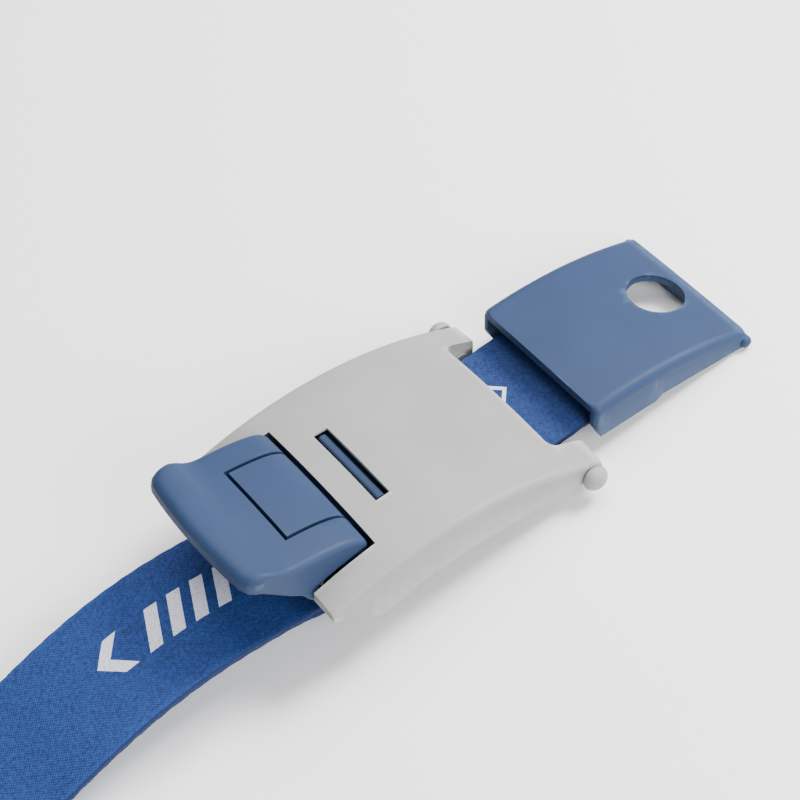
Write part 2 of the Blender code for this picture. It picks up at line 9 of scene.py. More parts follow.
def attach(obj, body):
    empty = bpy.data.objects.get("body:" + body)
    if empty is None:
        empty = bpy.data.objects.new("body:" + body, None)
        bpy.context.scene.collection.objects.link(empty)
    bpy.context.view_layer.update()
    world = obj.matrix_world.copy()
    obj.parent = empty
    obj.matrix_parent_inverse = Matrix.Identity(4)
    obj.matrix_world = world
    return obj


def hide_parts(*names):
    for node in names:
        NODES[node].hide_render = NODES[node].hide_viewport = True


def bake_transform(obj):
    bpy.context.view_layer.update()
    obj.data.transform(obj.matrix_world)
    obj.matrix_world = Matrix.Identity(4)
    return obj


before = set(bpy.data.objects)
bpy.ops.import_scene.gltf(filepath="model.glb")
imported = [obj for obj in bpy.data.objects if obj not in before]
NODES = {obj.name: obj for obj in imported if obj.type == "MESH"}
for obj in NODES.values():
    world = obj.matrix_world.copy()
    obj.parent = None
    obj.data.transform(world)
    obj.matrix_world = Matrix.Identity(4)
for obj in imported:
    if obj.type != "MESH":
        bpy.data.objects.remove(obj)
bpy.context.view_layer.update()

MM = 0.001

# The buckle frame: X along the strap, Z out of the housing's top, origin in the middle of the slot.
TILT = math.radians(10.0)
BUCKLE_ORIGIN = Vector((43.7, 0.0, 18.0942)) * MM
TO_TABLE = Matrix.Translation(BUCKLE_ORIGIN) @ Matrix.Rotation(TILT, 4, "Y")

# housing
HOUSING_HALF_WIDTH = 20.0
HOUSING_LEFT = -17.5
HOUSING_RIGHT = 35.9
HOUSING_SHOULDER = 1.2
ARCH_APEX = (7.7, 0.35)
ARCH_RADIUS = 70.0
CROWN_RADIUS = 175.0
ROOF_THICKNESS = 2.2
ROOF_LIP = 0.6
SLOT = (-1.1, 1.6, 8.6)
LEFT_BAY_HALF_WIDTH = 14.7
RIGHT_BAY_HALF_WIDTH = 14.4
LEVER_GAP_X = -5.7
RIGHT_CUT_X = 29.6
RIGHT_CUT_CORNER = 1.7
HOUSING_BELLY = [(-17.5, -6.9), (-8.2, -12.0), (-0.7, -9.6), (9.6, -8.7), (18.5, -8.7), (35.9, -9.5)]

# cross bar
BALL = (33.7, -8.3, 2.25)
NECK_RADIUS = 0.9
BAR = (32.1, -10.15, 1.2)

# lever and button
LEVER_HALF_WIDTH = 14.3
AXLE = (-13.0, -6.0, 1.2)
AXLE_REACH = 16.7
LEVER_TOP = [(-6.4, -1.8), (-6.9, -0.4), (-7.9, 0.7), (-9.5, 1.5), (-12.0, 2.1), (-15.0, 2.5), (-18.0, 2.7),
             (-20.2, 2.9), (-22.2, 3.6), (-24.2, 4.7), (-26.0, 5.3), (-27.6, 5.1), (-28.6, 4.3)]
LEVER_UNDER = [(-28.9, 3.1), (-28.2, 1.9), (-26.4, 0.7), (-22.4, -2.7), (-19.2, -5.3), (-17.6, -7.6),
               (-15.0, -9.4), (-12.5, -10.4), (-7.4, -10.4), (-6.2, -9.4)]
BUTTON_HALF_WIDTH = 8.1
LEVER_STEP_Y = 13.6
LIP_BOW = 1.2
LIP_CORNER = 2.6
BUTTON_LEFT = -17.5
BUTTON_OUTLINE_GAP = 0.6
BUTTON_THICKNESS = 1.6
BUTTON_ARM = (-3.7, -4.9)
BUTTON_COLLAR = ((-5.2, 2.9), (-12.6, 12.6), (-4.8, -2.9))
RIB_TOP = [(1.1, -1.3), (0.95, -0.9), (0.6, -0.65), (-0.15, -0.65), (-0.5, -0.9), (-0.65, -1.3)]
LEVER_EDGE = 1.1
POCKET_FLOOR = -1.9
SPRING_POCKET_RADIUS = 2.7
SPRING_POCKET_Y = 10.4

# webbing
STRAP_WIDTH = 25.0
STRAP_THICKNESS = 1.1
LAYER_GAP = 0.3
FEED_X = -9.0
FEED_TOP_Z = -12.9
FEED_SLOPE = math.radians(8.8)
UPPER_LAYER_SHIFT = 0.35
LOWER_LAYER_SHIFT = 1.0
LAYERS_PART_X = -21.0
FLAT_RUN = 46.0
FOLD_RISE_LENGTH = 15.0
FOLD_RISE_ANGLE = math.radians(40.0)

# pull tab
TAB_HALF_WIDTH = 15.2
TAB_NEAR = 38.4
TAB_FAR = 71.5
TAB_APEX = (50.5, 0.6)
TAB_RADIUS = 75.0
TAB_CROWN_RADIUS = 600.0
TAB_FLOOR = [(38.4, -4.6), (39.6, -7.2), (51.6, -6.5), (52.8, -5.6), (71.5, -5.6)]
TAB_SKIN = 1.5
TAB_CORNER = 1.2
TAB_WALL = 1.6
TAB_SHOULDER = 1.7
TAB_BEAD = (71.3, -4.68, 1.1)
TAB_HOLE = (64.2, 5.1)
TAB_ROD_X = 49.5
TAB_ROD_RADIUS = 0.9


# --- camera ---------------------------------------------------------------------------------

def make_camera():
    data = bpy.data.cameras.new("camera")
    data.lens = 98.5
    data.sensor_width = 36.0
    data.clip_start = 0.01
    data.clip_end = 5.0
    made = bpy.data.objects.new("camera", data)
    made.location = Vector((-34.47, -194.14, 296.18)) * MM
    made.rotation_euler = Euler([math.radians(a) for a in (37.156, 9.460, -37.014)])
    bpy.context.scene.collection.objects.link(made)
    bpy.context.scene.camera = made


make_camera()


# --- node helpers ---------------------------------------------------------------------------

class Graph:
    """A material's node tree with short calls for what the materials below need."""

    def __init__(self, name, colour, roughness, metallic=0.0):
        self.material = bpy.data.materials.new(name)
        self.material.use_nodes = True
        self.tree = self.material.node_tree
        self.shader = self.tree.nodes["Principled BSDF"]
        self.shader.inputs["Base Color"].default_value = (*colour, 1.0)
        self.shader.inputs["Roughness"].default_value = roughness
        self.shader.inputs["Metallic"].default_value = metallic

    def link(self, source, target):
        self.tree.links.new(source, target)

    def node(self, kind, **settings):
        made = self.tree.nodes.new(kind)
        for key, value in settings.items():
            setattr(made, key, value)
        return made

    def math(self, operation, a, b=None, c=None, clamp=False):
        made = self.node("ShaderNodeMath", operation=operation, use_clamp=clamp)
        for i, value in enumerate((a, b, c)):
            if value is None:
                continue
            if isinstance(value, (int, float)):
                made.inputs[i].default_value = value
            else:
                self.link(value, made.inputs[i])
        return made.outputs[0]

    def position(self):
        """Where the point is on the mesh at rest, in metres."""
        return self.node("ShaderNodeTexCoord").outputs["Object"]

    def along_and_across(self):
        """The webbing's own coordinates in millimetres: along its length, and across it from the middle."""
        coordinates = self.node("ShaderNodeUVMap", uv_map="webbing").outputs["UV"]
        split = self.node("ShaderNodeSeparateXYZ")
        self.link(coordinates, split.inputs[0])
        return split.outputs[0], split.outputs[1]

    def noise(self, scale, detail=2.0, roughness=0.5, where=None, stretch=None):
        made = self.node("ShaderNodeTexNoise")
        made.inputs["Scale"].default_value = scale
        made.inputs["Detail"].default_value = detail
        made.inputs["Roughness"].default_value = roughness
        source = where or self.position()
        if stretch:
            mapping = self.node("ShaderNodeMapping")
            mapping.inputs["Scale"].default_value = stretch
            self.link(source, mapping.inputs[0])
            source = mapping.outputs[0]
        self.link(source, made.inputs["Vector"])
        return made.outputs["Fac"]

    def ramp(self, factor, stops):
        made = self.node("ShaderNodeValToRGB")
        elements = made.color_ramp.elements
        while len(elements) < len(stops):
            elements.new(0.5)
        for element, (place, colour) in zip(elements, stops):
            element.position = place
            element.color = (*colour, 1.0)
        self.link(factor, made.inputs[0])
        return made.outputs[0]

    def mix(self, factor, a, b, blend="MIX"):
        made = self.node("ShaderNodeMix", data_type="RGBA", blend_type=blend)
        for socket, value in ((made.inputs[0], factor), (made.inputs[6], a), (made.inputs[7], b)):
            if isinstance(value, (int, float)):
                socket.default_value = value
            elif isinstance(value, tuple):
                socket.default_value = (*value, 1.0)
            else:
                self.link(value, socket)
        return made.outputs[2]

    def bump(self, height, strength, distance):
        made = self.node("ShaderNodeBump")
        made.inputs["Strength"].default_value = strength
        made.inputs["Distance"].default_value = distance
        self.link(height, made.inputs["Height"])
        self.link(made.outputs[0], self.shader.inputs["Normal"])


# --- materials ------------------------------------------------------------------------------

def moulded_plastic(name, colour, edge_highlight, roughness, shine=0.35):
    """Satin moulded plastic: faint mottling, a painted highlight in spots along sharp convex edges, and a
    fine spark-eroded grain.
    """
    graph = Graph(name, colour, roughness)
    darker = tuple(c * 0.94 for c in colour)
    lighter = tuple(min(1.0, c * 1.05) for c in colour)
    body = graph.ramp(graph.noise(90.0, 3.0), [(0.3, darker), (0.7, lighter)])
    # painted highlight: sharp convex edges, found by pointiness, are mixed in noisy spots towards the lighter
    # edge colour
    edges = graph.node("ShaderNodeNewGeometry").outputs["Pointiness"]
    convex_edge_mask = graph.math("MULTIPLY", graph.math("SUBTRACT", edges, 0.53), 9.0, clamp=True)
    edge_highlight_spots = graph.math("MULTIPLY", convex_edge_mask, graph.noise(700.0, 2.0))
    graph.link(graph.mix(edge_highlight_spots, body, edge_highlight), graph.shader.inputs["Base Color"])
    gloss = graph.math("MULTIPLY_ADD", graph.noise(420.0, 2.0), 0.10, roughness - 0.05)
    graph.link(gloss, graph.shader.inputs["Roughness"])
    graph.shader.inputs["Specular IOR Level"].default_value = shine
    graph.bump(graph.noise(5200.0, 2.0), 0.10, 0.00004)
    return graph.material


def brushed_steel(name, dark, bright):
    graph = Graph(name, bright, 0.32, 1.0)
    streaks = graph.noise(900.0, 2.0, stretch=(1.0, 0.03, 1.0))
    shade = graph.ramp(streaks, [(0.3, dark), (0.7, bright)])
    graph.link(shade, graph.shader.inputs["Base Color"])
    graph.bump(streaks, 0.15, 0.00003)
    return graph.material


def printed_marks(graph, along, across, bars):
    """A mask of slanted bars and chevrons. Each bar is (start along the webbing, lean, width)."""
    height = graph.math("ABSOLUTE", across)
    inside = graph.math("LESS_THAN", height, PRINT_HALF_HEIGHT)
    masks = []
    for start, slope, width in bars:
        lean = graph.math("MULTIPLY", height if slope < 0.0 else across, abs(slope))
        place = graph.math("ADD", graph.math("SUBTRACT", along, start), lean)
        masks.append(graph.math("COMPARE", place, width / 2.0, width / 2.0))
    total = masks[0]
    for mask in masks[1:]:
        total = graph.math("MAXIMUM", total, mask)
    return graph.math("MULTIPLY", total, inside)


def webbing(name, bars, middle, shade_tone=1.0):
    """Fine plain-woven elastic: crossing ribs, painted shade in the pits between threads, a painted highlight
    on the selvage and painted shade on the sides, white print.
    """
    colours = (WEBBING_PIT_SHADE, WEBBING_BLUE, WEBBING_LIGHT)
    # painted shade: below 1 this factor darkens every colour of the webbing
    pit, base, light_thread = [tuple(c * shade_tone for c in colour) for colour in colours]
    graph = Graph(name, WEBBING_BLUE, 0.78)
    along, across = graph.along_and_across()
    jitter = graph.math("MULTIPLY", graph.noise(900.0, 1.0), 1.1)
    weft = graph.math("SINE", graph.math("MULTIPLY_ADD", along, 2.0 * math.pi / WEFT_PITCH, jitter))
    warp = graph.math("SINE", graph.math("MULTIPLY_ADD", across, 2.0 * math.pi / WARP_PITCH, jitter))
    weave = graph.math("MULTIPLY_ADD", graph.math("MULTIPLY", weft, warp), 0.5, 0.5)
    thread = graph.noise(1900.0, 2.0)
    height = graph.math("MULTIPLY_ADD", thread, 0.75, graph.math("MULTIPLY", weave, 0.35))
    # random thread colour, with painted shade: where the weave is low the colour goes to the near-black pit
    # colour
    fibres = graph.ramp(height, [(0.36, pit), (0.54, base), (0.74, light_thread)])
    patches = graph.noise(160.0, 3.0)
    fibres = graph.mix(graph.math("MULTIPLY", patches, 0.35), fibres, light_thread)
    # painted highlight: a lighter strip along each selvage
    selvage = graph.math("GREATER_THAN", graph.math("ABSOLUTE", across), STRAP_WIDTH / 2.0 - 0.9)
    fibres = graph.mix(graph.math("MULTIPLY", selvage, 0.25), fibres, light_thread)
    # painted shade: the side faces of the webbing take the pit colour
    side = graph.math("GREATER_THAN", graph.math("ABSOLUTE", across), STRAP_WIDTH / 2.0 - 0.3)
    fibres = graph.mix(graph.math("MULTIPLY", side, 0.8), fibres, pit)
    marks = printed_marks(graph, along, graph.math("SUBTRACT", across, middle), bars)
    cover = graph.math("MULTIPLY_ADD", graph.math("GREATER_THAN", height, 0.42), 0.4, 0.55)
    fibres = graph.mix(graph.math("MULTIPLY", marks, cover), fibres, PRINT_WHITE)
    graph.link(fibres, graph.shader.inputs["Base Color"])
    graph.shader.inputs["Sheen Weight"].default_value = 0.04
    graph.shader.inputs["Sheen Roughness"].default_value = 0.4
    graph.shader.inputs["Specular IOR Level"].default_value = 0.3
    graph.bump(height, 0.6, 0.00014)
    return graph.material


def thread_material():
    graph = Graph("thread", (0.05, 0.10, 0.30), 0.7)
    twist = graph.noise(3000.0, 2.0)
    shade = graph.ramp(twist, [(0.3, (0.03, 0.07, 0.22)), (0.7, (0.07, 0.14, 0.38))])
    graph.link(shade, graph.shader.inputs["Base Color"])
    graph.bump(twist, 0.4, 0.00005)
    return graph.material


HOUSING_GREY = (0.252, 0.253, 0.248)
LEVER_BLUE = (0.0165, 0.034, 0.085)
WEBBING_BLUE = (0.006, 0.027, 0.135)
WEBBING_LIGHT = (0.014, 0.052, 0.210)
WEBBING_PIT_SHADE = (0.002, 0.008, 0.045)
PRINT_WHITE = (0.60, 0.62, 0.72)
WEFT_PITCH = 0.62
WARP_PITCH = 0.55
PRINT_HALF_HEIGHT = 3.7
# printed marks as (start along the webbing, lean, width); a negative lean makes a chevron
LOOP_PRINT = [(40.0, -0.9, 2.6), (30.5, 0.45, 2.4), (26.2, 0.45, 2.4), (21.9, 0.45, 2.4), (17.6, 0.45, 2.4)]
FEED_PRINT = [(38.6, -0.9, 0.9)]

# painted shade: near-black plastic for the faces inside the housing's left bay
INSIDE_SHADE = moulded_plastic("housing_inside_painted_shade", (0.02, 0.022, 0.03), (0.03, 0.03, 0.04), 0.6)
GREY = moulded_plastic("housing_plastic", HOUSING_GREY, (0.42, 0.42, 0.415), 0.5)
BLUE = moulded_plastic("lever_plastic", LEVER_BLUE, (0.05, 0.09, 0.17), 0.55, 0.22)
# painted shade: a darker copy of the lever's blue for the rib in the slot
RIB_SHADED_BLUE = moulded_plastic("rib_plastic_painted_shade", (0.012, 0.024, 0.058), (0.03, 0.05, 0.10), 0.55, 0.22)
STEEL = brushed_steel("steel", (0.46, 0.47, 0.48), (0.62, 0.63, 0.64))
# dark spring steel, partly painted shade: kept dark so the parts inside the housing show no bright spots
SPRING_STEEL_AND_SHADE = brushed_steel("spring_steel_and_painted_shade", (0.05, 0.05, 0.055), (0.09, 0.09, 0.10))
WEBBING = webbing("webbing", LOOP_PRINT, 1.0)
# painted shade: the feed webbing is the same webbing with every colour darkened to 0.72
FEED_WEBBING_SHADED = webbing("webbing_feed_shaded", FEED_PRINT, 2.4, 0.72)
THREAD = thread_material()


# --- shapes ---------------------------------------------------------------------------------

def mesh_object(name, points, faces, look=None):
    """A closed mesh from points in millimetres in the buckle frame, set down in the table frame."""
    mesh = bpy.data.meshes.new(name)
    mesh.from_pydata([TO_TABLE @ (Vector(point) * MM) for point in points], [], faces)
    work = bmesh.new()
    work.from_mesh(mesh)
    bmesh.ops.recalc_face_normals(work, faces=work.faces)
    work.to_mesh(mesh)
    work.free()
    made = bpy.data.objects.new(name, mesh)
    if look:
        mesh.materials.append(look)
    bpy.context.scene.collection.objects.link(made)
    return made


def loft(name, rings, look=None):
    """A closed solid skinned over rings with the same number of points."""
    count = len(rings[0])
    points = [point for ring in rings for point in ring]
    faces = []
    for ring in range(len(rings) - 1):
        start = ring * count
        for i in range(count):
            j = (i + 1) % count
            faces.append((start + i, start + j, start + count + j, start + count + i))
    faces.append(tuple(range(count)))
    faces.append(tuple(range(len(points) - count, len(points))))
    return mesh_object(name, points, faces, look)


def prism(name, outline, y_from, y_to, look=None):
    return loft(name, [[(x, y, z) for x, z in outline] for y in (y_from, y_to)], look)


def box_tool(x_range, y_range, z_range):
    left, right = x_range
    low, high = z_range
    return prism("tool", [(left, low), (right, low), (right, high), (left, high)], *y_range)


def round_outline(x, z, radius_x, radius_z, count=40):
    angles = [2.0 * math.pi * i / count for i in range(count)]
    return [(x + radius_x * math.cos(a), z + radius_z * math.sin(a)) for a in angles]


def rod_tool(x, z, radius, y_from, y_to):
    return prism("tool", round_outline(x, z, radius, radius), y_from, y_to)


def apply_modifiers(target):
    """Turns the modified shape into the object's own mesh."""
    graph = bpy.context.evaluated_depsgraph_get()
    mesh = bpy.data.meshes.new_from_object(target.evaluated_get(graph))
    target.modifiers.clear()
    target.data = mesh


def combine(target, tools, operation="DIFFERENCE"):
    for tool in tools:
        step = target.modifiers.new("step", "BOOLEAN")
        step.operation = operation
        step.solver = "EXACT"
        step.object = tool
        apply_modifiers(target)
        bpy.data.objects.remove(tool)


def round_edges(target, width, segments=3, angle=32.0):
    """Rounds every edge sharper than the angle, and shades the shape smooth."""
    step = target.modifiers.new("edges", "BEVEL")
    step.width = width * MM
    step.segments = segments
    step.limit_method = "ANGLE"
    step.angle_limit = math.radians(angle)
    step.use_clamp_overlap = True
    step.miter_outer = "MITER_ARC"
    apply_modifiers(target)
    smooth(target, 50.0)


def smooth(target, angle):
    target.data.shade_smooth()
    target.data.set_sharp_from_angle(angle=math.radians(angle))
    step = target.modifiers.new("normals", "WEIGHTED_NORMAL")
    step.keep_sharp = True
    apply_modifiers(target)


def smooth_line(points, per_span=5):
    """A smooth open line through the points."""
    padded = [points[0]] + list(points) + [points[-1]]
    line = []
    for a, b, c, d in zip(padded, padded[1:], padded[2:], padded[3:]):
        for i in range(per_span):
            t = i / per_span
            line.append(tuple(
                0.5 * (2.0 * q + (r - p) * t + (2.0 * p - 5.0 * q + 4.0 * r - s) * t ** 2
                       + (3.0 * q - p - 3.0 * r + s) * t ** 3)
                for p, q, r, s in zip(a, b, c, d)))
    line.append(tuple(points[-1]))
    return line


def between(x, table):
    if x <= table[0][0]:
        return table[0][1]
    for (x0, v0), (x1, v1) in zip(table, table[1:]):
        if x <= x1:
            return v0 + (v1 - v0) * (x - x0) / (x1 - x0)
    return table[-1][1]


def stations(first, last, step):
    count = max(1, round((last - first) / step))
    return [first + (last - first) * i / count for i in range(count + 1)]


def circle_sag(radius, distance):
    """How far a circle of that radius has dropped at a distance from its top."""
    return radius - math.sqrt(max(0.0, radius ** 2 - distance ** 2))


def arch_z(x, y):
    return ARCH_APEX[1] - circle_sag(ARCH_RADIUS, x - ARCH_APEX[0]) - circle_sag(CROWN_RADIUS, y)


def tab_z(x, y):
    return TAB_APEX[1] - circle_sag(TAB_RADIUS, x - TAB_APEX[0]) - circle_sag(TAB_CROWN_RADIUS, y)


def feed_z(x):
    return FEED_TOP_Z + (x - FEED_X) * math.tan(FEED_SLOPE)


def roofed_ring(x, half_width, top, floor, radius, corner_steps=7, top_steps=24):
    """A section across the strap: flat floor, upright sides, rounded shoulders, crowned top."""
    ring = [(x, -half_width, floor)]
    inner = half_width - radius
    shoulder = top(x, inner) - radius
    for step in range(corner_steps + 1):
        angle = math.radians(180.0 - 90.0 * step / corner_steps)
        ring.append((x, -inner + radius * math.cos(angle), shoulder + radius * math.sin(angle)))
    for step in range(1, top_steps):
        y = -inner + 2.0 * inner * step / top_steps
        ring.append((x, y, top(x, y)))
    for step in range(corner_steps + 1):
        angle = math.radians(90.0 - 90.0 * step / corner_steps)
        ring.append((x, inner + radius * math.cos(angle), shoulder + radius * math.sin(angle)))
    ring.append((x, half_width, floor))
    return ring


# --- hard pieces ----------------------------------------------------------------------------

def right_cut_tool():
    """The roof's cut-out at the pull tab's end, with rounded inner corners."""
    half = RIGHT_BAY_HALF_WIDTH - 0.03
    radius = RIGHT_CUT_CORNER
    outline = [(45.0, half), (45.0, -half)]
    for side in (-1.0, 1.0):
        angles = range(0, 91, 15) if side < 0.0 else range(90, -1, -15)
        for angle in angles:
            a = math.radians(angle)
            x = RIGHT_CUT_X + radius * (1.0 - math.sin(a))
            outline.append((x, side * (half - radius * (1.0 - math.cos(a)))))
    return loft("tool", [[(x, y, z) for x, y in outline] for z in (-20.0, 10.0)])


def in_left_bay(point):
    """True under the roof, on the roof's edge at the lever, and on the cheeks' inner walls: the faces that
    take painted shade.
    """
    x, y, z = point
    across = abs(y) - LEFT_BAY_HALF_WIDTH
    if across > 0.01 or x > 24.1:
        return False
    on_edge = abs(x - LEVER_GAP_X) < 0.02 or across > -0.01
    below_top = x > LEVER_GAP_X and z < arch_z(x, y) - ROOF_LIP + 0.02
    return on_edge or below_top


def paint_shade_inside(target, look, is_inside):
    """Paints shade: gives the faces whose corners are all inside a second, darker material."""
    to_buckle = TO_TABLE.inverted()
    target.data.materials.append(look)
    for face in target.data.polygons:
        if all(is_inside(to_buckle @ target.data.vertices[i].co / MM) for i in face.vertices):
            face.material_index = 1


def housing():
    """The arched body with its two bays, the slot and the sockets for the axle and the cross bar."""
    xs = sorted(set(stations(HOUSING_LEFT, HOUSING_RIGHT, 1.1) + [-8.2]))
    rings = []
    for x in xs:
        belly = between(x, HOUSING_BELLY)
        rings.append(roofed_ring(x, HOUSING_HALF_WIDTH, arch_z, belly, HOUSING_SHOULDER))
    shell = loft("housing", rings, GREY)
    slot_left, slot_right, slot_half = SLOT
    left = [(-40.0, -30.0), (24.0, -30.0)]
    left += [(x, arch_z(x, 0.0) - ROOF_THICKNESS) for x in (24.0, 18.0, 12.0, 6.0, 0.0, LEVER_GAP_X + 2.5)]
    left += [(LEVER_GAP_X, arch_z(LEVER_GAP_X, 0.0) - ROOF_LIP), (LEVER_GAP_X, 15.0), (-40.0, 15.0)]
    right = [(22.0, -31.0), (45.0, -31.0)]
    right += [(x, arch_z(x, 0.0) - ROOF_THICKNESS - 0.1) for x in (45.0, 36.0, RIGHT_CUT_X, 22.0)]
    under_slot = [(slot_left, -ROOF_LIP), (slot_right, -ROOF_LIP)]
    under_slot += [(slot_right + 1.6, -4.0), (slot_left - 1.6, -4.0)]
    combine(shell, [
        prism("tool", left, -LEFT_BAY_HALF_WIDTH, LEFT_BAY_HALF_WIDTH),
        prism("tool", right, -RIGHT_BAY_HALF_WIDTH, RIGHT_BAY_HALF_WIDTH),
        right_cut_tool(),
        prism("tool", under_slot, -slot_half - 1.2, slot_half + 1.2),
        box_tool((slot_left, slot_right), (-slot_half, slot_half), (-6.0, 5.0)),
        rod_tool(BALL[0], BALL[1], NECK_RADIUS + 0.15, -25.0, -15.3),
        rod_tool(BALL[0], BALL[1], NECK_RADIUS + 0.15, 15.3, 25.0),
        rod_tool(AXLE[0], AXLE[1], AXLE[2] + 0.1, -AXLE_REACH, AXLE_REACH),
    ])
    # painted shade on the faces inside the left bay and on the roof's edge at the lever
    paint_shade_inside(shell, INSIDE_SHADE, in_left_bay)
    round_edges(shell, 0.28)
    return shell


def cross_bar():
    """Ball ends, thin necks through the housing arms, and the middle that the webbing is sewn round."""
    ball_x, ball_z, ball_radius = BALL
    bar_x, bar_z, bar_radius = BAR
    half = []
    for step in range(10):
        a = math.radians(86.0 - 86.0 * step / 9)
        radius = ball_radius * math.cos(a)
        half.append((-20.9 - ball_radius * math.sin(a) * 0.75, ball_x, ball_z, radius, radius))
    half.append((-20.5, ball_x, ball_z, ball_radius * 0.98, ball_radius * 0.98))
    half.append((-20.3, ball_x, ball_z, ball_radius * 0.93, ball_radius * 0.93))
    half.append((-20.25, ball_x, ball_z, NECK_RADIUS, NECK_RADIUS))
    half.append((-14.3, ball_x, ball_z, NECK_RADIUS, NECK_RADIUS))
    half.append((-14.25, 32.9, -9.5, 1.9, 2.0))
    half.append((-13.95, 32.9, -9.5, 1.9, 2.0))
    half.append((-13.85, bar_x, bar_z, bar_radius, bar_radius))
    both = half + [(-y, x, z, rx, rz) for y, x, z, rx, rz in reversed(half)]
    rings = [[(px, y, pz) for px, pz in round_outline(x, z, rx, rz, 28)] for y, x, z, rx, rz in both]
    bar = loft("cross_bar_with_balls", rings, GREY)
    smooth(bar, 40.0)
    return bar


def inset(outline, depth):
    """The closed outline moved inwards by the depth."""
    moved = []
    for i, (x, z) in enumerate(outline):
        before = outline[i - 1]
        after = outline[(i + 1) % len(outline)]
        along = Vector((after[0] - before[0], after[1] - before[1])).normalized()
        moved.append((x - along.y * depth, z + along.x * depth))
    return moved


def lever_ring(y, outline, flat, edge):
    """The lever's section at y: crowned, rounded off at the sides, with a bowed lip."""
    past = max(0.0, abs(y) - flat)
    bow = LIP_BOW * (1.0 - (abs(y) / LEVER_HALF_WIDTH) ** 2)
    corner = circle_sag(LIP_CORNER, max(0.0, abs(y) - (LEVER_HALF_WIDTH - LIP_CORNER)))
    ring = []
    for x, z in inset(outline, circle_sag(edge, past) * 0.8):
        lip = min(1.0, max(0.0, (-21.0 - x) / 6.0))
        height = min(1.0, max(0.0, (z + 6.0) / 7.0))
        ring.append((x + (corner * 0.8 - bow) * lip, y, z - circle_sag(CROWN_RADIUS, y) * height))
    return ring


def lever_side_step():
    """The part of the lever's side that is set back between the cheeks."""
    line = [(x, arch_z(x, LEVER_HALF_WIDTH) + 0.3) for x in stations(-5.0, -17.3, -1.5)]
    return [(-17.3, -20.0), (-5.0, -20.0)] + line


def lever():
    outline = smooth_line(LEVER_TOP) + smooth_line(LEVER_UNDER, 4)
    flat = LEVER_HALF_WIDTH - LEVER_EDGE
    ys = [flat + LEVER_EDGE * math.sin(math.radians(90.0 * i / 6)) for i in range(7)]
    ys = [-y for y in reversed(ys)] + stations(-flat, flat, 1.2)[1:-1] + ys
    body = loft("lever", [lever_ring(y, outline, flat, LEVER_EDGE) for y in ys], BLUE)
    half = BUTTON_HALF_WIDTH + BUTTON_OUTLINE_GAP
    left = BUTTON_LEFT - BUTTON_OUTLINE_GAP
    pocket = [(left, 12.0), (left, POCKET_FLOOR), (-8.6, POCKET_FLOOR)]
    pocket += [(-8.6, -6.9), (2.0, -6.9), (2.0, 12.0)]
    combine(body, [
        prism("tool", pocket, -half, half),
        rod_tool(AXLE[0], AXLE[1], AXLE[2] + 0.3, -20.0, 20.0),
        rod_tool(AXLE[0], AXLE[1], SPRING_POCKET_RADIUS, -20.0, -SPRING_POCKET_Y),
        rod_tool(AXLE[0], AXLE[1], SPRING_POCKET_RADIUS, SPRING_POCKET_Y, 20.0),
        box_tool((-11.3, 0.0), (-13.0, 13.0), (-20.0, -8.9)),
        prism("tool", lever_side_step(), -20.0, -LEVER_STEP_Y),
        prism("tool", lever_side_step(), LEVER_STEP_Y, 20.0),
    ])
    round_edges(body, 0.12, 2, 45.0)
    return body


def button():
    """Panel flush in the lever, arm under the roof with a broad collar, and the rib in the slot."""
    xs = [-6.6, -6.8, -7.2, -7.9, -9.5, -11.0, -12.5, -14.0, -15.5, BUTTON_LEFT]
    lever_line = [(-x, z) for x, z in smooth_line(LEVER_TOP)]
    skin = [(x, between(-x, lever_line)) for x in xs]
    arm_top, arm_bottom = BUTTON_ARM
    under = [(BUTTON_LEFT, skin[-1][1] - BUTTON_THICKNESS), (-9.0, 0.0), (-7.4, -1.4), (-7.4, arm_bottom)]
    rib = [(RIB_TOP[0][0], arm_bottom)] + RIB_TOP + [(RIB_TOP[-1][0], arm_top), (-6.6, arm_top)]
    outline = skin + under + rib
    rings = []
    for y in stations(-BUTTON_HALF_WIDTH, BUTTON_HALF_WIDTH, 1.1):
        sag = circle_sag(CROWN_RADIUS, y)
        rings.append([(x, y, z - sag if i < len(skin) else z) for i, (x, z) in enumerate(outline)])
    made = loft("button", rings, BLUE)
    combine(made, [box_tool(*BUTTON_COLLAR)], "UNION")
    # painted shade on the rib in the slot
    paint_shade_inside(made, RIB_SHADED_BLUE, lambda point: point[0] > -0.7)
    round_edges(made, 0.14, 2, 40.0)
    return made


def tab_bead():
    """The rolled edge at the far end, with domed ends standing just proud of the sides."""
    x, z, radius = TAB_BEAD
    half = [(TAB_HALF_WIDTH + 0.1 + radius * 0.7 * math.sin(a), radius * math.cos(a))
            for a in (math.radians(step) for step in (84, 65, 45, 25, 0))]
    ends = [(-y, size) for y, size in half] + [(y, size) for y, size in reversed(half)]
    return loft("tool", [[(px, y, pz) for px, pz in round_outline(x, z, size, size, 24)] for y, size in ends])


